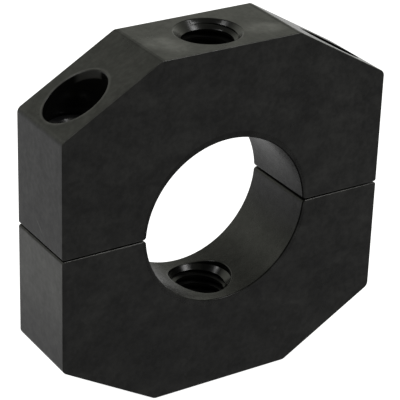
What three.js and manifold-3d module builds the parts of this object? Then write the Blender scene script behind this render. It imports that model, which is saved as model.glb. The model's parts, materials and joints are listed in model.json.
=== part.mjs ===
// Two-piece clamping collar for a round tube: an octagonal bar, bored through, sawn in two
// and closed up again on the tube by two socket-head screws. Each half also carries a tapped
// hole that runs from its outer flat into the bore, for whatever is bolted to the tube.
//
// Millimetres. +Z points from the lower half to the upper one, +Y runs along the bore and
// the origin is the middle of the bore, on the plane where the halves meet.

import * as THREE from "three";
import { mergeVertices } from "three/addons/utils/BufferGeometryUtils.js";
import Module from "manifold-3d";

const wasm = await Module();
wasm.setup();

// ---------------------------------------------------------------- driving dimensions

const INCH = 25.4;

// Body: the octagon seen along the bore.
const BODY_WIDTH = 3 * INCH;
const BODY_HEIGHT = 76.7;
const BODY_THICKNESS = 0.75 * INCH;
const END_FLAT_WIDTH = 32.6;
const SIDE_FLAT_HEIGHT = 51.2;
const CORNER_RADIUS = 1.6;

// Bore and saw cut. The saw took a slot out of a round bore, and the halves stand closer
// together than they were cut, so the closed bore is a little less high than it is wide.
const BORE_DIAMETER = 1.5 * INCH;
const SAW_SLOT = 1.85;
const SPLIT_GAP = 0.3;

// Mounting holes, 1/2-13: modelled at the thread's inner diameter.
const MOUNT_THREAD_INNER = 10.8;
const MOUNT_COUNTERSINK = 0.5625 * INCH;
const BORE_RELIEF_DIAMETER = 13.5;
const BORE_RELIEF_DEPTH = 0.35;

// Clamp screws, 5/16-18 by 1 1/4, socket head.
const SCREW_DIAMETER = 0.3125 * INCH;
const SCREW_LENGTH = 1.25 * INCH;
const HEAD_DIAMETER = 0.469 * INCH;
const HEAD_HEIGHT = 0.3125 * INCH;
const HEAD_CHAMFER = 0.5;
const POINT_CHAMFER = 0.9;
const SOCKET_FLATS = 0.25 * INCH;
const SOCKET_DEPTH = 4.3;

// Passages for the screws.
const SEAT_HEIGHT = 0.625 * INCH;
const HEAD_CLEARANCE = 0.4;
const SHANK_CLEARANCE = 0.24;
const THREAD_CLEARANCE = 0.1;
const SEAT_CLEARANCE = 0.05;
const TAP_RUNOUT = 3;
const SIDE_WALL = 1.6;

// Roundness of the faceted surfaces, and how far a cutter stands out past the metal.
const BORE_STEPS = 96;
const HOLE_STEPS = 48;
const CORNER_STEPS = 4;
const OVERCUT = 2;

// ---------------------------------------------------------------- sizes that follow

const SPLIT_FACE = SPLIT_GAP / 2;
const BORE_CENTRE = SPLIT_FACE - SAW_SLOT / 2;
const BORE_CROWN = BORE_CENTRE + BORE_DIAMETER / 2;
const END_FACE = BODY_HEIGHT / 2;
const COUNTERBORE_RADIUS = HEAD_DIAMETER / 2 + HEAD_CLEARANCE;
const SCREW_X = BODY_WIDTH / 2 - SIDE_WALL - COUNTERBORE_RADIUS;
const TAPPED_DEPTH = SCREW_LENGTH - SEAT_HEIGHT + TAP_RUNOUT;
const DRILL_POINT_SLOPE = Math.tan(THREE.MathUtils.degToRad(31));

// ---------------------------------------------------------------- finishes

const blackAnodised = new THREE.MeshStandardMaterial({ color: 0x1f1f1d, roughness: 0.55, metalness: 0.35 });
const blackOxide = new THREE.MeshStandardMaterial({ color: 0x121213, roughness: 0.4, metalness: 0.8 });

// ---------------------------------------------------------------- solids

/** Turns a closed geometry into a solid, joining its seams and dropping collapsed triangles. */
function solidOf(geometry) {
  const bare = geometry.clone();
  bare.deleteAttribute("normal");
  bare.deleteAttribute("uv");
  const merged = mergeVertices(bare, 1e-5);
  const corners = merged.index.array;
  const kept = [];
  for (let i = 0; i < corners.length; i += 3) {
    const [a, b, c] = [corners[i], corners[i + 1], corners[i + 2]];
    if (a !== b && b !== c && c !== a) {
      kept.push(a, b, c);
    }
  }
  const vertProperties = Float32Array.from(merged.attributes.position.array);
  return new wasm.Manifold(new wasm.Mesh({ numProp: 3, vertProperties, triVerts: Uint32Array.from(kept) }));
}

/** Turns a finished solid back into a geometry for the scene. */
function geometryOf(solid) {
  const { vertProperties, triVerts } = solid.getMesh();
  const geometry = new THREE.BufferGeometry();
  geometry.setAttribute("position", new THREE.BufferAttribute(vertProperties, 3));
  geometry.setIndex(new THREE.BufferAttribute(triVerts, 1));
  geometry.computeVertexNormals();
  return geometry;
}

/** A solid of revolution about +Z from [radius, height] points that run upwards, axis to axis. */
function turned(profile, steps = HOLE_STEPS) {
  const points = profile.map(([radius, height]) => new THREE.Vector2(radius, height));
  return new THREE.LatheGeometry(points, steps).rotateX(Math.PI / 2);
}

/** A plain round bar along the bore's direction. */
function barAlongBore(radius, length, steps) {
  return new THREE.CylinderGeometry(radius, radius, length, steps);
}

/** The outline of one half seen along the bore, standing on its split face, corners rounded. */
function halfOutline() {
  const side = BODY_WIDTH / 2;
  const shoulder = SIDE_FLAT_HEIGHT / 2;
  const flat = END_FLAT_WIDTH / 2;
  const corners = [[side, shoulder], [flat, END_FACE], [-flat, END_FACE], [-side, shoulder]];
  const route = [[side, SPLIT_FACE], ...corners, [-side, SPLIT_FACE]].map(([x, z]) => new THREE.Vector2(x, z));
  const shape = new THREE.Shape();
  shape.moveTo(route[0].x, route[0].y);
  for (let i = 1; i < route.length - 1; i += 1) {
    const [before, corner, after] = [route[i - 1], route[i], route[i + 1]];
    const arriving = corner.clone().sub(before).normalize();
    const leaving = after.clone().sub(corner).normalize();
    const turn = arriving.angleTo(leaving);
    const setback = CORNER_RADIUS * Math.tan(turn / 2);
    const start = corner.clone().addScaledVector(arriving, -setback);
    const inward = new THREE.Vector2(-arriving.y, arriving.x);
    const centre = start.clone().addScaledVector(inward, CORNER_RADIUS);
    const firstAngle = Math.atan2(-inward.y, -inward.x);
    shape.lineTo(start.x, start.y);
    shape.absarc(centre.x, centre.y, CORNER_RADIUS, firstAngle, firstAngle + turn, false);
  }
  const last = route[route.length - 1];
  shape.lineTo(last.x, last.y);
  shape.closePath();
  return shape;
}

/** What the mounting hole takes out: countersunk outside, relieved where it meets the bore. */
function mountHole() {
  const inner = MOUNT_THREAD_INNER / 2;
  const mouth = MOUNT_COUNTERSINK / 2;
  const relief = BORE_RELIEF_DIAMETER / 2;
  const reliefFloor = BORE_CROWN + BORE_RELIEF_DEPTH;
  return turned([
    [0, 0],
    [relief, 0],
    [relief, reliefFloor],
    [inner, reliefFloor + relief - inner],
    [inner, END_FACE - mouth + inner],
    [mouth + OVERCUT, END_FACE + OVERCUT],
    [0, END_FACE + OVERCUT],
  ]);
}

/** One half before its screw holes: outline, bore and mounting hole. */
function blankHalf() {
  const extrusion = new THREE.ExtrudeGeometry(halfOutline(), {
    depth: BODY_THICKNESS,
    bevelEnabled: false,
    curveSegments: CORNER_STEPS,
  });
  extrusion.rotateX(Math.PI / 2).translate(0, BODY_THICKNESS / 2, 0);
  const bore = barAlongBore(BORE_DIAMETER / 2, BODY_THICKNESS + 2 * OVERCUT, BORE_STEPS);
  bore.translate(0, 0, BORE_CENTRE);
  return solidOf(extrusion).subtract(solidOf(bore)).subtract(solidOf(mountHole()));
}

/** What one screw takes out of the upper half: clearance hole, then counterbore to the outside. */
function screwPassage() {
  const hole = SCREW_DIAMETER / 2 + SHANK_CLEARANCE;
  return turned([
    [0, -OVERCUT],
    [hole, -OVERCUT],
    [hole, SEAT_HEIGHT],
    [COUNTERBORE_RADIUS, SEAT_HEIGHT],
    [COUNTERBORE_RADIUS, END_FACE + OVERCUT],
    [0, END_FACE + OVERCUT],
  ]);
}

/** What one screw takes out of the lower half, seen from its split face: a blind tapped hole. */
function tappedHole() {
  const hole = SCREW_DIAMETER / 2 + THREAD_CLEARANCE;
  return turned([
    [0, -OVERCUT],
    [hole, -OVERCUT],
    [hole, TAPPED_DEPTH],
    [0, TAPPED_DEPTH + hole * DRILL_POINT_SLOPE],
  ]);
}

/** A half with the same cutter taken out at both screw positions. */
function halfWithHoles(makeCutter) {
  let half = blankHalf();
  for (const x of [-SCREW_X, SCREW_X]) {
    half = half.subtract(solidOf(makeCutter().translate(x, 0, 0)));
  }
  return geometryOf(half);
}

/** A socket-head screw, its head's underside at height 0. */
function clampScrew() {
  const shank = SCREW_DIAMETER / 2;
  const head = HEAD_DIAMETER / 2;
  const blank = turned([
    [0, -SCREW_LENGTH],
    [shank - POINT_CHAMFER, -SCREW_LENGTH],
    [shank, -SCREW_LENGTH + POINT_CHAMFER],
    [shank, 0],
    [head, 0],
    [head, HEAD_HEIGHT - HEAD_CHAMFER],
    [head - HEAD_CHAMFER, HEAD_HEIGHT],
    [0, HEAD_HEIGHT],
  ]);
  const socketRadius = SOCKET_FLATS / 2 / Math.cos(Math.PI / 6);
  const socketFloor = HEAD_HEIGHT - SOCKET_DEPTH;
  const socket = turned([
    [0, socketFloor - SOCKET_FLATS / 2 * DRILL_POINT_SLOPE],
    [socketRadius, socketFloor],
    [socketRadius, HEAD_HEIGHT + OVERCUT],
    [0, HEAD_HEIGHT + OVERCUT],
  ], 6);
  return geometryOf(solidOf(blank).subtract(solidOf(socket)));
}

// ---------------------------------------------------------------- assembly

/** Adds one named piece to the assembly. */
function addPiece(group, name, geometry, material) {
  const piece = new THREE.Mesh(geometry, material);
  piece.name = name;
  group.add(piece);
  return piece;
}

const collar = new THREE.Group();
addPiece(collar, "upper_half", halfWithHoles(screwPassage), blackAnodised);

// The lower half is the same blank turned over about the bore.
addPiece(collar, "lower_half", halfWithHoles(tappedHole), blackAnodised).rotation.y = Math.PI;

for (const [name, side] of [["clamp_screw_left", -1], ["clamp_screw_right", 1]]) {
  const screw = addPiece(collar, name, clampScrew(), blackOxide);
  screw.position.set(side * SCREW_X, 0, SEAT_HEIGHT + SEAT_CLEARANCE);
}

export default collar;
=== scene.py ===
"""Looks of a two-piece clamping collar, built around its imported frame.

Both halves are modelled again with broken edges, a real countersink and real threads in every
tapped hole, and the clamp screws get rolled threads, knurled heads and hexagon sockets. Shapes
are made in millimetres and put down in metres. +Z points from the lower half to the upper one
and +Y runs along the bore.
"""

from __future__ import annotations

import json
import logging
import math
from dataclasses import dataclass
from enum import Enum
from typing import Any, Callable, Mapping, Sequence

import bmesh
import bpy
from mathutils import Matrix, Vector


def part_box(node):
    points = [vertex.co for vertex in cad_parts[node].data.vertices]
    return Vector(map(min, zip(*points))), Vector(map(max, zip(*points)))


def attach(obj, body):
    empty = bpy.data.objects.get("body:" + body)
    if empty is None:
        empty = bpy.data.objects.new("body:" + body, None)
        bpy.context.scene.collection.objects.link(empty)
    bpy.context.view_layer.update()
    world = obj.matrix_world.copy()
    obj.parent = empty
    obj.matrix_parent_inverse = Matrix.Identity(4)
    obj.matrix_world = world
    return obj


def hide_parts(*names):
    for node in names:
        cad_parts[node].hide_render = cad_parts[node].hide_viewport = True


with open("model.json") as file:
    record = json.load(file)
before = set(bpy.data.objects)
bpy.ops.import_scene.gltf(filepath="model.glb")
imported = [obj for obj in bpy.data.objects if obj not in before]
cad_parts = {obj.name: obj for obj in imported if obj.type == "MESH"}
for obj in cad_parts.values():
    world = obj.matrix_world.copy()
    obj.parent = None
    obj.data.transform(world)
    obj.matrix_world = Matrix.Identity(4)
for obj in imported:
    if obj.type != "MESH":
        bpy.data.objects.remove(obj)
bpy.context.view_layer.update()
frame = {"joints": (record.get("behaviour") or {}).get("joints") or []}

LOG = logging.getLogger("collar")
# In millimetres, as are all sizes below.
METRE = 1000.0
INCH = 25.4
WELD = 0.002
CUTTER_OVERSHOOT = 2.0

SHARP_ANGLE = math.radians(32)
ROUNDING_STEPS = tuple(math.radians(degrees) for degrees in (0, 20, 40, 60, 75))
DRILL_POINT_SLOPE = math.tan(math.radians(31))
THREAD_FLANK_SLOPE = math.tan(math.radians(30))

Row = Callable[[float], tuple[float, float]]
Surface = Callable[[float, float], float]
Colour = tuple[float, float, float]


class Cut(Enum):
    """How one solid is combined with another."""

    AWAY = "DIFFERENCE"
    JOIN = "UNION"
    SHARED = "INTERSECT"


class Side(Enum):
    """The two screw positions, as the sign of their X."""

    LEFT = -1
    RIGHT = 1


# ------------------------------------------------------------------ node trees


@dataclass(frozen=True, eq=False)
class Value:
    """An output socket in a node tree, with arithmetic that adds Math nodes."""

    tree: Tree
    socket: bpy.types.NodeSocket

    def _with(self, operation: str, *terms: Any) -> Value:
        """Result of a Math node that works on some terms."""
        return self.tree.node("ShaderNodeMath", {"operation": operation}, dict(enumerate(terms)))[0]

    def __add__(self, other: Any) -> Value:
        """Sum."""
        return self._with("ADD", self, other)

    __radd__ = __add__

    def __sub__(self, other: Any) -> Value:
        """Difference."""
        return self._with("SUBTRACT", self, other)

    def __rsub__(self, other: Any) -> Value:
        """Difference, with the socket second."""
        return self._with("SUBTRACT", other, self)

    def __mul__(self, other: Any) -> Value:
        """Product."""
        return self._with("MULTIPLY", self, other)

    __rmul__ = __mul__

    def __truediv__(self, other: Any) -> Value:
        """Quotient."""
        return self._with("DIVIDE", self, other)

    def __gt__(self, other: Any) -> Value:
        """1 where the value is the larger one, else 0."""
        return self._with("GREATER_THAN", self, other)

    def __lt__(self, other: Any) -> Value:
        """1 where the value is the smaller one, else 0."""
        return self._with("LESS_THAN", self, other)

    def size(self) -> Value:
        """The value without its sign."""
        return self._with("ABSOLUTE", self)

    def cosine(self) -> Value:
        """Cosine of an angle in radians."""
        return self._with("COSINE", self)

    def sine(self) -> Value:
        """Sine of an angle in radians."""
        return self._with("SINE", self)

    def root(self) -> Value:
        """Square root."""
        return self._with("SQRT", self)

    def ramp(self, start: float, end: float) -> Value:
        """A smooth step.

        Args:
            start: Where the step is 0.
            end: Where it is 1. It may lie below start.

        Returns:
            The step, from 0 to 1.
        """
        settings = {"interpolation_type": "SMOOTHSTEP"}
        sockets = {"Value": self, "From Min": start, "From Max": end}
        return self.tree.node("ShaderNodeMapRange", settings, sockets)["Result"]


@dataclass(frozen=True)
class Made:
    """A node that was just added, giving its outputs by name or number."""

    tree: Tree
    node: bpy.types.Node

    def __getitem__(self, key: int | str) -> Value:
        """One output."""
        return Value(self.tree, self.node.outputs[key])


class Tree:
    """Adds nodes to a shader or geometry tree."""

    def __init__(self, nodes: bpy.types.NodeTree) -> None:
        """Wraps the tree to build in."""
        self.nodes = nodes

    def node(self, kind: str, settings: Mapping[str, Any] | None = None,
             sockets: Mapping[int | str, Any] | None = None) -> Made:
        """Adds one node.

        Args:
            kind: The node's type.
            settings: What is set on the node itself, before its inputs.
            sockets: Values or links for its inputs, by name or number.

        Returns:
            The node, with its outputs at hand.
        """
        node = self.nodes.nodes.new(kind)
        for name, setting in (settings or {}).items():
            setattr(node, name, setting)
        for key, value in (sockets or {}).items():
            if isinstance(value, Value):
                self.nodes.links.new(value.socket, node.inputs[key])
            else:
                node.inputs[key].default_value = value
        return Made(self, node)

    def mix(self, share: Any, first: Any, second: Any) -> Value:
        """Mixes two colours or links; the share is how much of the second shows."""
        sockets = {0: share, 6: _rgba(first), 7: _rgba(second)}
        return self.node("ShaderNodeMix", {"data_type": "RGBA"}, sockets)[2]

    def noise(self, vector: Value, scale: float, detail: float = 2.0, roughness: float = 0.5) -> Value:
        """Adds a noise texture.

        Args:
            vector: Where it is read, in metres.
            scale: Features per metre.
            detail: Octaves.
            roughness: How strong the finer octaves are.

        Returns:
            The noise, about 0 to 1.
        """
        sockets = {"Vector": vector, "Scale": scale, "Detail": detail, "Roughness": roughness}
        return self.node("ShaderNodeTexNoise", {}, sockets)["Fac"]

    def blot(self, across: Value, along: Value, centre: tuple[float, float], reach: tuple[float, float],
             turn: float) -> Value:
        """A soft oval spot.

        Args:
            across: First coordinate.
            along: Second coordinate.
            centre: Its centre in these coordinates.
            reach: Its half width and half length.
            turn: How far it is turned, in radians.

        Returns:
            1 in its middle and 0 outside it.
        """
        first, second = across - centre[0], along - centre[1]
        wide = (first * math.cos(turn) + second * math.sin(turn)) / reach[0]
        long = (second * math.cos(turn) - first * math.sin(turn)) / reach[1]
        return (wide * wide + long * long).root().ramp(1.1, 0.35)


def _rgba(colour: Any) -> Any:
    """A colour with its alpha, or a link unchanged."""
    return colour if isinstance(colour, Value) else (*colour, 1.0)


def new_material(name: str) -> tuple[bpy.types.Material, Tree]:
    """Starts a material.

    Args:
        name: Its name.

    Returns:
        The material and its empty tree.
    """
    material = bpy.data.materials.new(name)
    material.use_nodes = True
    material.node_tree.nodes.clear()
    return material, Tree(material.node_tree)


def placed(name: str, data: bpy.types.ID) -> bpy.types.Object:
    """Puts a new object in the scene.

    Args:
        name: Its name.
        data: Its mesh, lamp or camera data.

    Returns:
        The object.
    """
    thing = bpy.data.objects.new(name, data)
    bpy.context.scene.collection.objects.link(thing)
    return thing


class ShapeTree(Tree):
    """A Geometry Nodes tree with named inputs, among them the material of its faces."""

    def __init__(self, name: str, counts: Sequence[str], measures: Sequence[str]) -> None:
        """Starts a tree.

        Args:
            name: The tree's name.
            counts: Names of the inputs that are whole numbers.
            measures: Names of the inputs that are lengths or shares.
        """
        super().__init__(bpy.data.node_groups.new(name, "GeometryNodeTree"))
        for kind, labels in (("Int", counts), ("Float", measures), ("Material", ("Material",))):
            for label in labels:
                self.nodes.interface.new_socket(label, in_out="INPUT", socket_type=f"NodeSocket{kind}")
        self.nodes.interface.new_socket("Geometry", in_out="OUTPUT", socket_type="NodeSocketGeometry")
        self.given = self.node("NodeGroupInput")

    def close(self, geometry: Value) -> None:
        """Ends the tree in real faces that carry the asked material.

        Args:
            geometry: What the tree made.
        """
        real = self.node("GeometryNodeRealizeInstances", {}, {"Geometry": geometry})["Geometry"]
        sockets = {"Geometry": real, "Material": self.given["Material"]}
        dressed = self.node("GeometryNodeSetMaterial", {}, sockets)
        self.node("NodeGroupOutput", {}, {"Geometry": dressed["Geometry"]})

    def run(self, name: str, values: Mapping[str, Any]) -> bpy.types.Mesh:
        """Runs the tree once.

        Args:
            name: A name for the mesh.
            values: A value for each named input.

        Returns:
            The resulting mesh.
        """
        holder = placed(name, bpy.data.meshes.new(name))
        modifier = holder.modifiers.new("shape", "NODES")
        modifier.node_group = self.nodes
        for item in self.nodes.interface.items_tree:
            if item.in_out == "INPUT" and item.name in values:
                modifier[item.identifier] = values[item.name]
        return _settled(holder)


def _settled(holder: bpy.types.Object) -> bpy.types.Mesh:
    """Turns an object with modifiers into a plain mesh and removes the object.

    Args:
        holder: The object to evaluate.

    Returns:
        Its evaluated mesh.
    """
    bpy.context.view_layer.update()
    graph = bpy.context.evaluated_depsgraph_get()
    mesh = bpy.data.meshes.new_from_object(holder.evaluated_get(graph))
    source = holder.data
    bpy.data.objects.remove(holder)
    bpy.data.meshes.remove(source)
    return mesh


@dataclass(frozen=True)
class ThreadForm:
    """A 60 degree screw thread, as a rod with one ridge wound round it."""

    outer_radius: float
    root_radius: float
    pitch: float
    crest_width: float
    steps: int = 72

    def rod(self, start: float, end: float) -> bpy.types.Mesh:
        """Makes the rod about the Z axis.

        Args:
            start: Its lowest height; heights a whole pitch apart keep the ridge in step.
            end: About its highest height.

        Returns:
            A closed mesh.
        """
        flank = (self.outer_radius - self.root_radius) * THREAD_FLANK_SLOPE
        values = {
            "Outer Radius": self.outer_radius,
            "Root Radius": self.root_radius,
            "Pitch": self.pitch,
            "Start": start,
            "Turns": max(1, round((end - start) / self.pitch)),
            "Steps": self.steps,
            "Crest Share": self.crest_width / self.pitch,
            "Flank Share": flank / self.pitch,
        }
        mesh = thread_tree().run("thread_rod", values)
        return _outward(mesh)


def thread_tree() -> ShapeTree:
    """Builds the tree that winds a ridge round a rod.

    Returns:
        The tree: a grid rolled up along a helix and closed at its ends.
    """
    measures = ("Outer Radius", "Root Radius", "Pitch", "Start", "Crest Share", "Flank Share")
    tree = ShapeTree("helical thread", ("Turns", "Steps"), measures)
    given = tree.given
    columns = 5
    rows = given["Turns"] * given["Steps"] + 1
    grid = tree.node("GeometryNodeMeshGrid", {}, {
        "Size X": 1.0, "Size Y": 1.0, "Vertices X": columns + 1, "Vertices Y": rows})["Mesh"]
    place = tree.node("ShaderNodeSeparateXYZ", {}, {0: tree.node("GeometryNodeInputPosition")[0]})
    column = (place["X"] + 0.5) * columns
    turn = (place["Y"] + 0.5) * given["Turns"]
    crest = given["Crest Share"]
    flank = given["Flank Share"]
    root = (1 - crest - flank * 2) * 0.5
    climb = turn
    for number, share in enumerate((root, flank, crest, flank, root)):
        climb = climb + share * (column > number + 0.5)
    ridge = (column > 1.5) - (column > 3.5)
    radius = given["Root Radius"] + (given["Outer Radius"] - given["Root Radius"]) * ridge
    angle = turn * math.tau
    height = given["Start"] + climb * given["Pitch"]
    wound = tree.node("ShaderNodeCombineXYZ", {}, {
        "X": radius * angle.cosine(), "Y": radius * angle.sine(), "Z": height})[0]
    rolled = tree.node("GeometryNodeSetPosition", {}, {"Geometry": grid, "Position": wound})[0]
    welded = tree.node("GeometryNodeMergeByDistance", {}, {"Geometry": rolled, "Distance": WELD})[0]

    # The two open ends are drawn in to a point on the axis, one pitch beyond each end.
    rim = tree.node("GeometryNodeInputMeshEdgeNeighbors")[0] < 1.5
    ends = tree.node("GeometryNodeExtrudeMesh", {"mode": "EDGES"}, {
        "Mesh": welded, "Selection": rim, "Offset Scale": 0.0})
    now = tree.node("ShaderNodeSeparateXYZ", {}, {0: tree.node("GeometryNodeInputPosition")[0]})["Z"]
    length = given["Turns"] * given["Pitch"]
    upper = now > given["Start"] + length * 0.5
    tip = given["Start"] - given["Pitch"] + upper * (length + given["Pitch"] * 3)
    point = tree.node("ShaderNodeCombineXYZ", {}, {"Z": tip})[0]
    drawn = tree.node("GeometryNodeSetPosition", {}, {
        "Geometry": ends["Mesh"], "Selection": ends["Top"], "Position": point})[0]
    shut = tree.node("GeometryNodeMergeByDistance", {}, {"Geometry": drawn, "Distance": WELD})[0]
    tree.close(shut)
    return tree


@dataclass(frozen=True)
class Knurl:
    """Straight V grooves round a screw head."""

    count: int
    radius: float
    depth: float
    low: float
    high: float

    def cutter(self) -> bpy.types.Mesh:
        """Makes the ring of groove cutters about the Z axis.

        Returns:
            One mesh of separate four-sided bars.
        """
        return _outward(knurl_tree().run("knurl", {
            "Count": self.count, "Radius": self.radius, "Depth": self.depth,
            "Low": self.low, "High": self.high}))


def knurl_tree() -> ShapeTree:
    """Builds the tree of the groove cutters.

    Returns:
        The tree: a square bar, corner inwards, at every point of a circle.
    """
    tree = ShapeTree("knurl", ("Count",), ("Radius", "Depth", "Low", "High"))
    given = tree.given
    circle = tree.node("GeometryNodeMeshCircle", {}, {
        "Vertices": given["Count"], "Radius": given["Radius"]})["Mesh"]
    bar = tree.node("GeometryNodeMeshCylinder", {}, {
        "Vertices": 4, "Radius": given["Depth"], "Depth": given["High"] - given["Low"]})["Mesh"]
    outward = tree.node("GeometryNodeInputPosition")[0]
    facing = tree.node("FunctionNodeAxesToRotation", {}, {"Secondary Axis": outward})["Rotation"]
    ring = tree.node("GeometryNodeInstanceOnPoints", {}, {
        "Points": circle, "Instance": bar, "Rotation": facing})["Instances"]
    middle = (given["High"] + given["Low"]) * 0.5
    rise = tree.node("ShaderNodeCombineXYZ", {}, {"Z": middle})[0]
    raised = tree.node("GeometryNodeSetPosition", {}, {"Geometry": ring, "Offset": rise})[0]
    tree.close(raised)
    return tree


# ------------------------------------------------------------------ meshes


def _outward(mesh: bpy.types.Mesh) -> bpy.types.Mesh:
    """Turns the faces of a closed mesh outwards.

    Args:
        mesh: The mesh, changed in place.

    Returns:
        The same mesh.
    """
    work = bmesh.new()
    work.from_mesh(mesh)
    bmesh.ops.recalc_face_normals(work, faces=work.faces)
    if work.calc_volume(signed=True) < 0:
        bmesh.ops.reverse_faces(work, faces=work.faces)
    work.to_mesh(mesh)
    work.free()
    return mesh


def combine(base: bpy.types.Mesh, tool: bpy.types.Mesh, how: Cut) -> bpy.types.Mesh:
    """Combines two closed meshes into one.

    Args:
        base: The first mesh, used up.
        tool: The second mesh, used up.
        how: What is kept.

    Returns:
        The new mesh.
    """
    holder = placed("base", base)
    helper = placed("tool", tool)
    modifier = holder.modifiers.new("combine", "BOOLEAN")
    modifier.operation = how.value
    modifier.solver = "MANIFOLD"
    modifier.object = helper
    result = _settled(holder)
    bpy.data.objects.remove(helper)
    bpy.data.meshes.remove(tool)
    if not result.polygons:
        raise RuntimeError(f"nothing left after {how.name}")
    return result


def level(radius: float, height: float) -> Row:
    """A round row at one height."""
    return lambda angle: (radius, height)


def follow(surface: Surface, centre: tuple[float, float], radius: float, lift: float) -> Row:
    """A round row, seen from above, that lies on a surface or a little off it.

    Args:
        surface: Height of the surface over a point.
        centre: The row's centre.
        radius: Its radius.
        lift: How far above the surface it runs.

    Returns:
        The row.
    """
    def row(angle: float) -> tuple[float, float]:
        """Radius and height at an angle."""
        east, north = radius * math.cos(angle), radius * math.sin(angle)
        return radius, surface(centre[0] + east, centre[1] + north) + lift
    return row


def ring_solid(rows: Sequence[Row], centre: tuple[float, float] = (0.0, 0.0),
               steps: int = 96) -> bpy.types.Mesh:
    """Makes a closed solid from stacked rows round an upright axis.

    Args:
        rows: The rows, lowest first.
        centre: Where the axis stands.
        steps: Points in each row.

    Returns:
        The mesh, faces outwards.
    """
    points: list[tuple[float, float, float]] = []
    for row in rows:
        for step in range(steps):
            angle = math.tau * step / steps
            radius, height = row(angle)
            east, north = radius * math.cos(angle), radius * math.sin(angle)
            points.append((centre[0] + east, centre[1] + north, height))
    faces: list[tuple[int, ...]] = []
    for row_number in range(len(rows) - 1):
        for step in range(steps):
            here = row_number * steps + step
            beside = row_number * steps + (step + 1) % steps
            faces.append((here, beside, beside + steps, here + steps))
    top = (len(rows) - 1) * steps
    for first, order in ((0, -1), (top, 1)):
        mean = sum(points[first + step][2] for step in range(steps)) / steps
        points.append((*centre, mean))
        for step in range(steps):
            pair = (first + step, first + (step + 1) % steps)
            faces.append((len(points) - 1, *pair[::order]))
    mesh = bpy.data.meshes.new("ring_solid")
    mesh.from_pydata(points, [], faces)
    mesh.update()
    return mesh


def rounded_mouth(surface: Surface, centre: tuple[float, float], radius: float, edge: float,
                  above: bool) -> list[Row]:
    """Rows that round off the edge where an upright hole meets a surface, lowest row first.

    Args:
        surface: Height of the surface.
        centre: The hole's centre.
        radius: The hole's radius.
        edge: Radius of the rounding.
        above: True where the hole opens upwards, False where it opens downwards.

    Returns:
        The rows, from inside the metal out into the air or the other way round.
    """
    sign = 1 if above else -1
    rows = []
    for turn in ROUNDING_STEPS:
        spread = edge * (1 - math.cos(turn))
        rows.append(follow(surface, centre, radius + spread, -sign * edge * (1 - math.sin(turn))))
    out = edge + 0.45
    rows.append(follow(surface, centre, radius + out, sign * 0.12))
    rows.append(follow(surface, centre, radius + out, sign * CUTTER_OVERSHOOT))
    return rows if above else rows[::-1]


def place_in_metres(mesh: bpy.types.Mesh) -> None:
    """Shrinks a mesh drawn in millimetres to metres."""
    mesh.transform(Matrix.Scale(1 / METRE, 4))


def finished_piece(name: str, mesh: bpy.types.Mesh, finish: bpy.types.Material) -> bpy.types.Object:
    """Shades a mesh, gives it its finish and puts it in the scene.

    Args:
        name: The piece's name.
        mesh: Its mesh, in millimetres.
        finish: Its material.

    Returns:
        The piece, with its place in its mesh.
    """
    work = bmesh.new()
    work.from_mesh(mesh)
    bmesh.ops.remove_doubles(work, verts=work.verts, dist=WELD)
    bmesh.ops.dissolve_degenerate(work, edges=work.edges, dist=WELD / 2)
    work.to_mesh(mesh)
    work.free()
    place_in_metres(mesh)
    mesh.name = name
    mesh.materials.clear()
    mesh.materials.append(finish)
    for polygon in mesh.polygons:
        polygon.material_index = 0
        polygon.use_smooth = True
    mesh.set_sharp_from_angle(angle=SHARP_ANGLE)
    holder = placed(name, mesh)
    weighting = holder.modifiers.new("weighting", "WEIGHTED_NORMAL")
    weighting.keep_sharp = True
    weighting.mode = "FACE_AREA"
    weighting.weight = 50
    plain = _settled(holder)
    plain.name = name
    return placed(name, plain)


# ------------------------------------------------------------------ finishes


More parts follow.
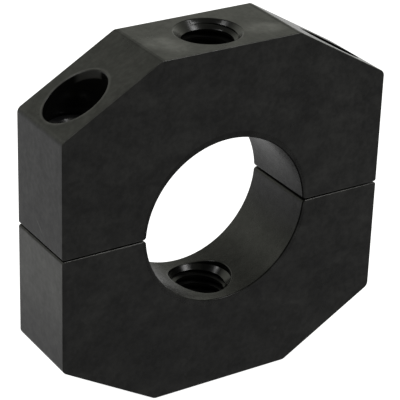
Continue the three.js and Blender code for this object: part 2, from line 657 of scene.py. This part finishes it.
class BodySurface:
    """What the finish reads on a half: places in millimetres, and masks and mottling from 0 to 1."""

    def __init__(self, tree: Tree, sizes: Sizes) -> None:
        """Adds the nodes.

        Args:
            tree: The material's tree.
            sizes: Where the holes and the ridges are.
        """
        self.tree = tree
        self.sizes = sizes
        where = tree.node("ShaderNodeTexCoord")
        self.place = where["Object"]
        at = tree.node("ShaderNodeSeparateXYZ", {}, {0: self.place})
        facing = tree.node("ShaderNodeSeparateXYZ", {}, {0: where["Normal"]})
        self.x, self.y, self.z = (at[axis] * METRE for axis in "XYZ")
        self.sideways, self.tilt, self.upright = (facing[axis].size() for axis in "XYZ")
        self._find_holes()
        self._find_faces()
        self._mottle()

    def _find_holes(self) -> None:
        """Masks for the bore, the mounting holes and the counterbores, by distance from their axes."""
        x, y, z, sizes = self.x, self.y, self.z, self.sizes
        bore, mouth, counterbore = sizes.bore_radius, sizes.mount_mouth, sizes.counterbore
        from_bore = (x * x + z * z).root()
        from_mount = (x * x + y * y).root()
        self.aside = x.size() - sizes.screw_x
        self.from_screw = (self.aside * self.aside + y * y).root()
        self.off_bore = from_bore.ramp(bore + 0.5, bore + 0.9)
        self.in_bore = 1 - self.off_bore
        self.in_mount = from_mount.ramp(mouth + 0.15, mouth) * z.size().ramp(bore - 4, bore - 3)
        self.above_seat = z.ramp(sizes.seat - 2, sizes.seat - 1)
        self.in_screw = self.from_screw.ramp(counterbore + 0.1, counterbore) * self.above_seat
        self.outside = 1 - self.in_mount - self.in_screw

    def _find_faces(self) -> None:
        """Masks for the end flats, the slanted facets, the sides and the edges between them."""
        across, half_flat = self.x.size(), self.sizes.half_end_flat
        self.flat = self.upright.ramp(0.9, 0.98) * self.off_bore
        self.slant = self.upright.ramp(0.80, 0.84) * self.upright.ramp(0.92, 0.90) * self.off_bore
        self.side = self.sideways.ramp(0.9, 0.98) * self.off_bore
        broken = self.tilt.ramp(0.15, 0.4) * self.tilt.ramp(0.97, 0.85) * self.outside
        self.edge = broken * self.off_bore
        self.rim = broken * self.in_bore
        self.ridge = (across - (half_flat - 0.75)).size().ramp(0.32, 0.12) * self.flat
        self.shoulder = across.ramp(half_flat - 0.9, half_flat - 0.6) * self.flat

    def _mottle(self) -> None:
        """Cloudy textures from coarse to fine, wiped streaks and specks."""
        tree, place = self.tree, self.place
        self.cloud = tree.noise(place, 70, 3, 0.55)
        self.patch = tree.noise(place, 260, 2, 0.6)
        self.fine = tree.noise(place, 900, 2, 0.6)
        drawn_out = tree.node("ShaderNodeMapping", {}, {
            "Vector": place, "Rotation": (0.0, 0.0, 0.5), "Scale": (70.0, 300.0, 120.0)})[0]
        self.smear = tree.noise(drawn_out, 1.6, 4, 0.6).ramp(0.46, 0.72)
        self.speck = tree.noise(place, 620, 0, 0.5).ramp(0.80, 0.86)


@dataclass(frozen=True)
class Anodised:
    """Black anodised aluminium, blasted outside, machined in its holes, a little worn and dusty, with
    painted highlights on its edges and counterbore mouths, painted light in its counterbores, and painted
    shade on its ridges, in its holes and in its bore.
    """

    deep: Colour = (0.006, 0.006, 0.0055)
    dusty: Colour = (0.036, 0.036, 0.033)
    # A pale tone. On the anodised halves it is used for the scratch and for wear on the broken edges, and as
    # painted highlights on those edges and round the counterbores' mouths, and as painted light in the
    # counterbores. On the steel it is a paler mottling.
    pale_tone: Colour = (0.16, 0.158, 0.15)
    chalky: Colour = (0.36, 0.36, 0.34)
    # Colour of the dark coat: random smudges, and painted shade along the ridges, in the counterbores and in
    # the bore.
    grime_and_shade: Colour = (0.0035, 0.0035, 0.0032)
    roughness: float = 0.31
    machined_roughness: float = 0.24
    reamed_roughness: float = 0.13
    grain_size: float = 0.00034
    grain_depth: float = 0.000022

    def make(self, sizes: Sizes) -> bpy.types.Material:
        """Builds the material.

        Args:
            sizes: Where the holes and the ridges are.

        Returns:
            The material.
        """
        material, tree = new_material("black_anodised")
        body = BodySurface(tree, sizes)
        grain = tree.noise(body.place, 1 / self.grain_size, 2, 0.65)
        roughness = (self.roughness + (body.cloud - 0.5) * 0.10 + (body.patch - 0.5) * 0.06
                     + (grain - 0.5) * 0.12 - body.in_bore * 0.04
                     - body.in_mount * (self.roughness - self.machined_roughness)
                     - body.in_screw * (self.roughness - self.reamed_roughness))
        bump = tree.node("ShaderNodeBump", {}, {
            "Strength": 0.6, "Distance": self.grain_depth,
            "Height": (grain + body.patch * 0.6) * (0.1 + 0.9 * body.outside)})["Normal"]
        coat = tree.node("ShaderNodeBsdfPrincipled", {}, {
            "Base Color": self._colour(body), "Roughness": roughness, "IOR": 1.6,
            "Normal": bump})["BSDF"]
        # The dark coat, used for the smudges and for painted shade.
        grime_and_shade_coat = tree.node("ShaderNodeBsdfPrincipled", {}, {
            "Base Color": (*self.grime_and_shade, 1.0), "Roughness": 0.7, "Specular IOR Level": 0.1})["BSDF"]
        shader = tree.node("ShaderNodeMixShader", {}, {0: self._grime_and_shade_share(body), 1: coat, 2: grime_and_shade_coat})[0]
        tree.node("ShaderNodeOutputMaterial", {}, {"Surface": shader})
        return material

    def _colour(self, body: BodySurface) -> Value:
        """The black coat under dust, rubbed spots and wear, with painted shade in the holes, painted
        highlights on the edges and round the counterbores' mouths, and painted light on the counterbores'
        walls.

        Args:
            body: The surface it lies on.

        Returns:
            The colour.
        """
        tree, x, y, z = body.tree, body.x, body.y, body.z
        dust = 0.15 + body.cloud.ramp(0.35, 0.75) * 0.33 + body.patch.ramp(0.32, 0.68) * 0.33
        dust = dust + body.fine.ramp(0.3, 0.7) * 0.3 + body.speck
        # The dusty tone fades towards the bottom and towards -X.
        dust = dust * (0.65 + 0.25 * z.ramp(-32, 8) + 0.25 * x.ramp(0, 38))
        # In the mounting hole and the counterbores the coat is painted darker, as painted shade in these
        # hollows.
        colour = tree.mix(dust * (1 - 0.8 * (body.in_mount + body.in_screw)), self.deep, self.dusty)

        # Where hands and tools rubbed: streaks, two spots on the flat, and the lower half's wiped sides.
        left_rub = tree.blot(x, y, (-11.0, -2.6), (3.9, 6.5), 0.5)
        right_rub = tree.blot(x, y, (11.2, -3.6), (5.2, 3.2), -0.2)
        rubbed = (left_rub + right_rub) * body.flat * (0.02 + 0.62 * body.patch)
        wiped = body.side * z.ramp(0.0, -1.0) * z.ramp(-26.0, -4.0)
        chalk = (body.smear * 0.05 + rubbed) * body.outside + wiped * (0.07 + 0.8 * body.cloud)
        colour = tree.mix(chalk, colour, self.chalky)

        # Wear and painted light: a worn scratch, painted highlights round the counterbores' mouths, painted
        # light high on their walls, and the broken edges, which are lighter partly for wear and partly as a
        # painted highlight.
        sizes, wear_and_highlight_share = body.sizes, 0.25 + 0.5 * body.patch
        mouth = sizes.counterbore
        scratch = tree.blot(y, z, (0.4, 3.7), (2.3, 0.32), 0.7) * x.ramp(0.0, -1.0) * body.side
        # A lighter ring round each counterbore's mouth is a painted highlight.
        mouth_highlight = body.from_screw.ramp(mouth + 0.75, mouth + 0.3) * body.slant * body.above_seat
        below_mouth = sizes.facet(0.0, 0.0) - x.size() * sizes.facet_slope - z
        # A lit patch on each counterbore's wall, on the side towards the middle and the back, just under the
        # mouth, is painted light.
        painted_wall_light = body.in_screw * body.aside.ramp(-2.6, -4.0) * y.ramp(0.4, 1.6)
        wear_and_light = scratch * 0.7 + mouth_highlight * wear_and_highlight_share + painted_wall_light * below_mouth.ramp(1.9, 1.5) * 0.8
        # The broken edges are lightened, partly for wear and partly as a painted highlight.
        return tree.mix(body.edge * wear_and_highlight_share, tree.mix(wear_and_light, colour, self.pale_tone), self.pale_tone)

    def _grime_and_shade_share(self, body: BodySurface) -> Value:
        """How much of the dark coat covers the black one: random smudges everywhere, painted shade along the
        ridges, in the counterbores and low in the bore, and more on the bore's edges and towards the bore's
        front.

        Args:
            body: The surface it lies on.

        Returns:
            The share, from 0 to 1.
        """
        smudge = (body.patch.ramp(0.62, 0.38) * 0.08 + body.fine.ramp(0.65, 0.35) * 0.1) * body.outside
        # Painted shade low in the bore, towards its front and left.
        bore_low_shade = body.in_bore * body.z.ramp(-11, -16.5) * body.x.ramp(3, -7) * body.y.ramp(-10, -7.5)
        # Darker towards the front of the bore, except near its bottom.
        bore_front_dark = body.in_bore * body.y.ramp(3, -9) * body.z.ramp(-14, -6)
        # Painted shade along the ridges of the end flat and in the counterbores; the bore's rounded edges
        # are made darker too.
        grime_and_shade = body.ridge * 0.12 + body.shoulder * 0.24 + body.rim * 0.4 + body.in_screw * 0.25
        return grime_and_shade + smudge + bore_low_shade * 0.5 + bore_front_dark * 0.2


@dataclass(frozen=True)
class BlackOxide:
    """Steel with a black oxide coat, a little oily."""

    deep: Colour = (0.030, 0.030, 0.032)
    pale_tone: Colour = (0.10, 0.098, 0.095)
    roughness: float = 0.36

    def make(self) -> bpy.types.Material:
        """Builds the material.

        Returns:
            The material.
        """
        material, tree = new_material("black_oxide_steel")
        place = tree.node("ShaderNodeTexCoord")["Object"]
        cloud = tree.noise(place, 320, 3, 0.6)
        grain = tree.noise(place, 5200, 2, 0.6)
        colour = tree.mix(cloud.ramp(0.42, 0.75), self.deep, self.pale_tone)
        roughness = self.roughness + (cloud - 0.5) * 0.18 + (grain - 0.5) * 0.08
        bump = tree.node("ShaderNodeBump", {}, {
            "Strength": 0.4, "Distance": 0.000006, "Height": grain})["Normal"]
        shader = tree.node("ShaderNodeBsdfPrincipled", {}, {
            "Base Color": colour, "Metallic": 0.35, "Roughness": roughness, "IOR": 1.6,
            "Coat Weight": 0.15, "Normal": bump})["BSDF"]
        tree.node("ShaderNodeOutputMaterial", {}, {"Surface": shader})
        return material


# ------------------------------------------------------------------ sizes


@dataclass(frozen=True)
class Sizes:
    """Sizes that the pieces share; those without a value here come from the frame."""

    half_width: float
    half_thickness: float
    end_face: float
    split_face: float
    screw_x: float
    seat: float
    screw_tip: float
    half_end_flat: float = 16.3
    half_side_flat: float = 25.6
    bore_radius: float = 0.75 * INCH
    saw_slot: float = 1.85
    mount_mouth: float = 0.28125 * INCH
    counterbore: float = 6.356

    @classmethod
    def from_frame(cls) -> Sizes:
        """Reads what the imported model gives.

        Returns:
            The sizes.
        """
        low, high = (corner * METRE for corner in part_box("upper_half"))
        screw_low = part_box("clamp_screw_right")[0] * METRE
        hinge = next(joint for joint in frame["joints"] if joint["name"] == "right_screw_turn")
        return cls(
            half_width=high.x,
            half_thickness=high.y,
            end_face=high.z,
            split_face=low.z,
            screw_x=hinge["pos_m"][0] * METRE,
            seat=hinge["pos_m"][2] * METRE,
            screw_tip=screw_low.z,
        )

    @property
    def bore_centre(self) -> float:
        """Height of the centre of the upper half's bore."""
        return self.split_face - self.saw_slot / 2

    @property
    def bore_crown(self) -> float:
        """Height of the top of the bore."""
        return self.bore_centre + self.bore_radius

    def bore_surface(self, x: float, y: float) -> float:
        """Height of the upper half's bore over a point."""
        return self.bore_centre + math.sqrt(self.bore_radius ** 2 - x * x)

    @property
    def facet_slope(self) -> float:
        """How steeply the slanted facets fall towards the sides."""
        return (self.end_face - self.half_side_flat) / (self.half_width - self.half_end_flat)

    def facet(self, x: float, y: float) -> float:
        """Height of the slanted facets over a point."""
        return self.half_side_flat + (self.half_width - abs(x)) * self.facet_slope


MOUNT_PITCH = INCH / 13
SCREW_PITCH = INCH / 18
MOUNT_THREAD = ThreadForm(outer_radius=6.37, root_radius=5.12, pitch=MOUNT_PITCH, crest_width=0.26, steps=96)
TAPPED_THREAD = ThreadForm(outer_radius=4.02, root_radius=3.15, pitch=SCREW_PITCH, crest_width=0.19)
SCREW_THREAD = ThreadForm(outer_radius=3.93, root_radius=3.22, pitch=SCREW_PITCH, crest_width=0.17)

# Height at which a turn of both clamp screw threads starts, so that they mesh.
THREAD_DATUM = 0.35


# ------------------------------------------------------------------ the halves


@dataclass
class Half:
    """One half of the body: its outline, broken edges, bore and mounting hole."""

    sizes: Sizes
    outer_edge: float = 0.2
    bore_edge: float = 0.32
    corner_radius: float = 1.6
    split_corner_radius: float = 0.5
    bore_corner_radius: float = 0.75
    mount_inner: float = 5.4
    mount_edge: float = 0.12
    relief: float = 6.75
    relief_wall: float = 0.15
    relief_edge: float = 0.18
    thread_start: float = 0.0
    edge_steps: int = 5
    corner_steps: int = 8
    bore_steps: int = 120

    def outline(self) -> list[tuple[Vector, float]]:
        """The closed outline of the half seen along the bore, anticlockwise.

        Returns:
            Points (x, z), each with the width of its edge break.
        """
        sizes = self.sizes
        side, top, split = sizes.half_width, sizes.end_face, sizes.split_face
        shoulder, flat = sizes.half_side_flat, sizes.half_end_flat
        route = [
            (Vector((side, split)), self.split_corner_radius),
            (Vector((side, shoulder)), self.corner_radius),
            (Vector((flat, top)), self.corner_radius),
            (Vector((-flat, top)), self.corner_radius),
            (Vector((-side, shoulder)), self.corner_radius),
            (Vector((-side, split)), self.split_corner_radius),
        ]
        inner = Vector((0.0, split))
        points: list[tuple[Vector, float]] = []
        for number, (corner, radius) in enumerate(route):
            before = route[number - 1][0] if number else inner
            after = route[number + 1][0] if number + 1 < len(route) else inner
            arriving = (corner - before).normalized()
            leaving = (after - corner).normalized()
            turn = arriving.angle(leaving)
            start = corner - arriving * radius * math.tan(turn / 2)
            centre = start + Vector((-arriving.y, arriving.x)) * radius
            first = math.atan2(start.y - centre.y, start.x - centre.x)
            for step in range(self.corner_steps + 1):
                angle = first + turn * step / self.corner_steps
                spoke = Vector((math.cos(angle), math.sin(angle))) * radius
                points.append((centre + spoke, self.outer_edge))
        points += self._bore_side()
        return points

    def _bore_side(self) -> list[tuple[Vector, float]]:
        """The outline from the left split face round the bore to the right one.

        Returns:
            Points (x, z), each with the width of its edge break.
        """
        sizes = self.sizes
        small = self.bore_corner_radius
        reach = sizes.bore_radius + small
        drop = sizes.split_face + small - sizes.bore_centre
        across = math.sqrt(reach * reach - drop * drop)
        lean = math.atan2(drop, across)
        right_centre = Vector((across, sizes.split_face + small))
        right = []
        for step in range(self.corner_steps + 1):
            angle = math.pi + lean + (math.pi / 2 - lean) * step / self.corner_steps
            right.append(right_centre + Vector((math.cos(angle), math.sin(angle))) * small)
        arc = []
        for step in range(1, self.bore_steps):
            angle = lean + (math.pi - 2 * lean) * step / self.bore_steps
            spoke = Vector((math.cos(angle), math.sin(angle))) * sizes.bore_radius
            arc.append(spoke + Vector((0, sizes.bore_centre)))
        left = [Vector((-point.x, point.y)) for point in right]
        return [(point, self.bore_edge) for point in left[::-1] + arc[::-1] + right]

    def prism(self) -> bpy.types.Mesh:
        """The half without holes: the outline drawn along the bore, its edges rounded.

        Returns:
            The mesh.
        """
        outline = self.outline()
        count = len(outline)
        inward = []
        for number, (point, _) in enumerate(outline):
            arriving = (point - outline[number - 1][0]).normalized()
            leaving = (outline[(number + 1) % count][0] - point).normalized()
            normal = Vector((-arriving.y - leaving.y, arriving.x + leaving.x)).normalized()
            inward.append(normal / max(0.5, normal.dot(Vector((-arriving.y, arriving.x)))))
        loops = []
        for step in range(self.edge_steps + 1):
            turn = math.pi / 2 * step / self.edge_steps
            back, down = 1 - math.cos(turn), 1 - math.sin(turn)
            loops.append([(point + inward[number] * edge * back, edge * down)
                          for number, (point, edge) in enumerate(outline)])
        vertices = []
        thickness = self.sizes.half_thickness
        for sign, order in ((-1, loops[::-1]), (1, loops)):
            for loop in order:
                vertices += [(flat.x, sign * (thickness - depth), flat.y) for flat, depth in loop]
        faces: list[tuple[int, ...]] = []
        rings = len(vertices) // count
        for ring in range(rings - 1):
            for number in range(count):
                here, beside = ring * count + number, ring * count + (number + 1) % count
                faces.append((here, here + count, beside + count, beside))
        faces.append(tuple(range(count)))
        faces.append(tuple(range(rings * count - 1, (rings - 1) * count - 1, -1)))
        mesh = bpy.data.meshes.new("half")
        mesh.from_pydata(vertices, [], faces)
        return _outward(mesh)

    def mount_hole(self) -> bpy.types.Mesh:
        """What the drill, the countersink and the relief tool take out, from the bore outwards.

        Returns:
            The cutter.
        """
        sizes = self.sizes
        top, mouth, inner = sizes.end_face, sizes.mount_mouth, self.mount_inner
        broken = self.mount_edge
        floor = sizes.bore_crown + self.relief_wall
        rows = rounded_mouth(sizes.bore_surface, (0.0, 0.0), self.relief, self.relief_edge, above=False)
        rows += [
            level(self.relief, floor),
            level(inner, floor + self.relief - inner),
            level(inner, top - (mouth - inner)),
            level(mouth - broken, top - broken),
            level(mouth + broken / 4, top - broken / 3),
            level(mouth + 0.5, top + broken),
            level(mouth + 0.5, top + CUTTER_OVERSHOOT),
        ]
        return ring_solid(rows)

    def blank(self) -> bpy.types.Mesh:
        """The half with its mounting hole tapped, before its screw holes.

        Returns:
            The mesh.
        """
        mesh = combine(self.prism(), self.mount_hole(), Cut.AWAY)
        start = self.sizes.bore_crown - 4 * MOUNT_PITCH + self.thread_start
        thread = MOUNT_THREAD.rod(start, self.sizes.end_face + 3)
        return combine(mesh, thread, Cut.AWAY)


@dataclass
class UpperHalf(Half):
    """The half that holds the screw heads."""

    thread_start: float = 0.37
    clearance_hole: float = 4.21
    passage_edge: float = 0.3
    counterbore_edge: float = 0.25

    def screw_passage(self, side: Side) -> bpy.types.Mesh:
        """Clearance hole and counterbore, with the counterbore's slanted mouth rounded.

        Args:
            side: Which screw it is for.

        Returns:
            The cutter.
        """
        sizes = self.sizes
        centre = (side.value * sizes.screw_x, 0.0)
        hole, edge = self.clearance_hole, self.passage_edge
        rows = rounded_mouth(lambda x, y: sizes.split_face, centre, hole, edge, above=False)
        rows += [
            level(hole, sizes.seat - edge),
            level(hole + edge, sizes.seat - 0.05),
            level(sizes.counterbore - 0.15, sizes.seat - 0.05),
            level(sizes.counterbore, sizes.seat + 0.1),
        ]
        rows += rounded_mouth(sizes.facet, centre, sizes.counterbore, self.counterbore_edge, above=True)
        return ring_solid(rows, centre)

    def build(self, finish: bpy.types.Material) -> bpy.types.Object:
        """Makes the piece and lets it ride on its body.

        Args:
            finish: Its material.

        Returns:
            The piece.
        """
        mesh = self.blank()
        for side in Side:
            mesh = combine(mesh, self.screw_passage(side), Cut.AWAY)
        piece = finished_piece("upper_half_anodised", mesh, finish)
        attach(piece, "upper_half")
        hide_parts("upper_half")
        return piece


@dataclass
class LowerHalf(Half):
    """The half that the screws are turned into: the same blank, turned over."""

    tapped_inner: float = 3.36
    tapped_mouth: float = 4.38
    runout: float = 3.0

    def tapped_hole(self, side: Side) -> bpy.types.Mesh:
        """A blind hole from the split face down.

        Args:
            side: Which screw it is for.

        Returns:
            The cutter.
        """
        sizes = self.sizes
        centre = (side.value * sizes.screw_x, 0.0)
        inner, mouth = self.tapped_inner, self.tapped_mouth
        floor, face = sizes.screw_tip - self.runout, -sizes.split_face
        rows = [
            level(0.02, floor - inner * DRILL_POINT_SLOPE),
            level(inner, floor),
            level(inner, face - 0.95),
            level(mouth - 0.18, face - 0.11),
            level(mouth, face - 0.03),
            level(mouth + 0.42, face + 0.1),
            level(mouth + 0.42, CUTTER_OVERSHOOT),
        ]
        return ring_solid(rows, centre, steps=72)

    def build(self, finish: bpy.types.Material) -> bpy.types.Object:
        """Makes the piece and lets it ride on its body.

        Args:
            finish: Its material.

        Returns:
            The piece.
        """
        mesh = self.blank()
        mesh.transform(Matrix.Rotation(math.pi, 4, "Y"))
        turns_down = math.ceil(-self.sizes.screw_tip / SCREW_PITCH) + 1
        for side in Side:
            mesh = combine(mesh, self.tapped_hole(side), Cut.AWAY)
            thread = TAPPED_THREAD.rod(THREAD_DATUM - turns_down * SCREW_PITCH, CUTTER_OVERSHOOT)
            thread.transform(Matrix.Translation((side.value * self.sizes.screw_x, 0, 0)))
            mesh = combine(mesh, thread, Cut.AWAY)
        piece = finished_piece("lower_half_anodised", mesh, finish)
        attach(piece, "lower_half")
        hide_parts("lower_half")
        return piece


# ------------------------------------------------------------------ the screws


@dataclass
class ClampScrew:
    """A socket-head cap screw."""

    sizes: Sizes
    side: Side
    head_radius: float = 5.956
    head_height: float = 7.9375
    head_chamfer: float = 0.5
    core_radius: float = 3.3
    point_chamfer: float = 0.9
    neck: float = 1.6
    neck_radius: float = 3.78
    under_edge: float = 0.25
    knurl_count: int = 48
    knurl_depth: float = 0.27
    knurl_start: float = 1.1
    socket_flats: float = 0.25 * INCH
    socket_depth: float = 4.3

    def head(self) -> bpy.types.Mesh:
        """The knurled head with its hexagon socket, underside on the seat.

        Returns:
            The mesh.
        """
        seat, top = self.sizes.seat, self.sizes.seat + self.head_height
        radius, chamfer, under = self.head_radius, self.head_chamfer, self.under_edge
        rows = [
            level(self.core_radius, seat - self.neck),
            level(self.neck_radius, seat - self.neck + 0.2),
            level(self.neck_radius, seat - under),
            level(self.neck_radius + 0.35, seat),
            level(radius - under, seat),
            level(radius, seat + under),
            level(radius, top - chamfer),
            level(radius - chamfer * 0.35, top - chamfer * 0.3),
            level(radius - chamfer, top),
        ]
        mesh = ring_solid(rows, steps=144)
        low = seat + self.knurl_start
        knurl = Knurl(self.knurl_count, radius + 0.03, self.knurl_depth, low, top + 1)
        mesh = combine(mesh, knurl.cutter(), Cut.AWAY)
        corner = self.socket_flats / 2 / math.cos(math.pi / 6)
        floor = top - self.socket_depth
        socket = ring_solid([
            level(0.02, floor - corner * math.tan(math.radians(28))),
            level(corner, floor),
            level(corner, top + 1)], steps=6)
        mesh = combine(mesh, socket, Cut.AWAY)
        bevel = ring_solid([
            level(corner - 0.6, top - 0.75),
            level(corner + 0.05, top - 0.1),
            level(corner + 0.35, top + 0.2),
            level(corner + 0.35, top + 1)])
        return combine(mesh, bevel, Cut.AWAY)

    def shank(self) -> bpy.types.Mesh:
        """The threaded shank, cut to length with a chamfered point.

        Returns:
            The mesh.
        """
        tip, seat = self.sizes.screw_tip, self.sizes.seat
        turns_down = math.ceil((THREAD_DATUM - tip) / SCREW_PITCH) + 2
        rod = SCREW_THREAD.rod(THREAD_DATUM - turns_down * SCREW_PITCH, seat + 3)
        radius = SCREW_THREAD.outer_radius + 0.3
        envelope = ring_solid([
            level(radius - 0.3 - self.point_chamfer, tip),
            level(radius, tip + self.point_chamfer + 0.3),
            level(radius, seat - self.neck - 0.9),
            level(self.core_radius - 0.02, seat - self.neck + 0.1)])
        return combine(rod, envelope, Cut.SHARED)

    def build(self, finish: bpy.types.Material) -> bpy.types.Object:
        """Makes the piece and lets it ride on its body.

        Args:
            finish: Its material.

        Returns:
            The piece.
        """
        mesh = combine(self.head(), self.shank(), Cut.JOIN)
        mesh.transform(Matrix.Translation((self.side.value * self.sizes.screw_x, 0, 0)))
        label = self.side.name.lower()
        piece = finished_piece(f"clamp_screw_{label}_steel", mesh, finish)
        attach(piece, f"clamp_screw_{label}")
        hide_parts(f"clamp_screw_{label}")
        return piece


# ------------------------------------------------------------------ stage


@dataclass(frozen=True)
class SoftBox:
    """A square lamp that faces the collar, in metres and watts."""

    name: str
    place: tuple[float, float, float]
    width: float
    power: float

    def build(self) -> None:
        """Adds the lamp."""
        data = bpy.data.lights.new(self.name, "AREA")
        data.size = self.width
        data.energy = self.power
        lamp = placed(self.name, data)
        lamp.location = self.place
        lamp.rotation_euler = (-Vector(self.place)).to_track_quat("-Z", "Y").to_euler()


SOFT_BOXES = (
    SoftBox("right_box", (0.45, -0.44, 0.77), 0.32, 1.7),
    SoftBox("left_box", (-0.60, 0.14, 0.79), 0.34, 1.2),
)


@dataclass
class Studio:
    """Floor, surroundings, lamps and camera; lengths in millimetres, the floor's reach in metres."""

    sizes: Sizes
    azimuth: float = 32.533
    elevation: float = 26.745
    roll: float = -1.912
    distance: float = 392.62
    aside: float = -0.466
    above: float = 0.355
    lens: float = 168.69
    floor_reach: float = 6.0
    floor_gap: float = 0.2

    def directions(self) -> tuple[Vector, Vector, Vector]:
        """Works out how the camera stands.

        Returns:
            Its forward, right and up directions.
        """
        turn, tilt, roll = (math.radians(value) for value in (self.azimuth, self.elevation, self.roll))
        ahead = Vector((math.sin(turn), math.cos(turn), 0.0))
        forward = ahead * math.cos(tilt) - Vector((0.0, 0.0, math.sin(tilt)))
        right = Vector((math.cos(turn), -math.sin(turn), 0))
        up = right.cross(forward)
        rolled = right * math.cos(roll) - up * math.sin(roll)
        return forward, rolled, rolled.cross(forward)

    def camera(self) -> None:
        """Adds the camera at the angle that the collar is usually shown from."""
        forward, right, up = self.directions()
        data = bpy.data.cameras.new("camera")
        data.lens = self.lens
        data.clip_start = 0.01
        data.clip_end = 20
        camera = placed("camera", data)
        place = (right * self.aside + up * self.above - forward * self.distance) / METRE
        axes = Matrix((right, up, -forward)).transposed().to_4x4()
        camera.matrix_world = Matrix.Translation(place) @ axes
        bpy.context.scene.camera = camera

    def floor(self) -> None:
        """Adds a plain white floor that lights nothing and mirrors in nothing."""
        reach = self.floor_reach
        height = -(self.sizes.end_face + self.floor_gap) / METRE
        mesh = bpy.data.meshes.new("floor")
        corners = [(x * reach, y * reach, height) for x, y in ((-1, -1), (1, -1), (1, 1), (-1, 1))]
        mesh.from_pydata(corners, [], [(0, 1, 2, 3)])
        material, tree = new_material("white_floor")
        shader = tree.node("ShaderNodeBsdfPrincipled", {}, {
            "Base Color": (0.85, 0.85, 0.85, 1.0), "Roughness": 0.9,
            "Emission Color": (1.0, 1.0, 1.0, 1.0), "Emission Strength": 1.0})["BSDF"]
        tree.node("ShaderNodeOutputMaterial", {}, {"Surface": shader})
        mesh.materials.append(material)
        floor = placed("floor", mesh)
        floor.visible_glossy = False
        floor.visible_diffuse = False

    def surroundings(self) -> None:
        """Lights the room: bright behind the collar and low down, dark where the viewer stands."""
        world = bpy.data.worlds.new("studio")
        world.use_nodes = True
        world.node_tree.nodes.clear()
        tree = Tree(world.node_tree)
        direction = tree.node("ShaderNodeTexCoord")["Generated"]
        turn = math.radians(self.azimuth)
        behind = tree.node("ShaderNodeVectorMath", {"operation": "DOT_PRODUCT"}, {
            0: direction, 1: (math.sin(turn), math.cos(turn), 0.0)})["Value"]
        height = tree.node("ShaderNodeSeparateXYZ", {}, {0: direction})["Z"]
        across = tree.node("ShaderNodeVectorMath", {"operation": "DOT_PRODUCT"}, {
            0: direction, 1: (math.cos(turn), -math.sin(turn), 0.0)})["Value"]
        # What each part of the room sends out, by how far behind, aside and high it is.
        front = (0.06 + 0.15 * across.ramp(-0.5, 0.6)) * (1 - 0.45 * height.ramp(0.3, 0.8))
        wall = behind.ramp(-0.1, 0.3) * (0.08 + 0.36 * height.ramp(0.80, 0.15))
        corner = 0.28 * across.ramp(0.0, -0.7) * height.ramp(0.15, 0.45) * behind.ramp(0.0, 0.3)
        low_glow = 0.45 * behind.ramp(0.72, 0.98) * height.ramp(0.12, -0.1) * height.ramp(-0.5, -0.25)
        strength = front + wall + corner * height.ramp(0.78, 0.5) + low_glow
        tint = tree.mix(height.ramp(-0.2, 0.3), (1.0, 1.0, 1.0), (0.98, 1.0, 0.87))
        light = tree.node("ShaderNodeBackground", {}, {"Color": tint, "Strength": strength})
        tree.node("ShaderNodeOutputWorld", {}, {"Surface": light["Background"]})
        bpy.context.scene.world = world

    def build(self) -> None:
        """Sets up the whole stage."""
        self.camera()
        self.floor()
        self.surroundings()
        for box in SOFT_BOXES:
            box.build()
        bpy.context.scene.view_settings.view_transform = "Standard"


def main() -> None:
    """Builds the collar's pieces and the stage."""
    logging.basicConfig(level=logging.INFO, format="%(name)s: %(message)s")
    sizes = Sizes.from_frame()
    anodised = Anodised().make(sizes)
    oxide = BlackOxide().make()
    pieces = [UpperHalf(sizes).build(anodised), LowerHalf(sizes).build(anodised)]
    pieces += [ClampScrew(sizes, side).build(oxide) for side in Side]
    for piece in pieces:
        LOG.info("%s: %d faces", piece.name, len(piece.data.polygons))
    Studio(sizes).build()


if __name__ == "__main__":
    main()
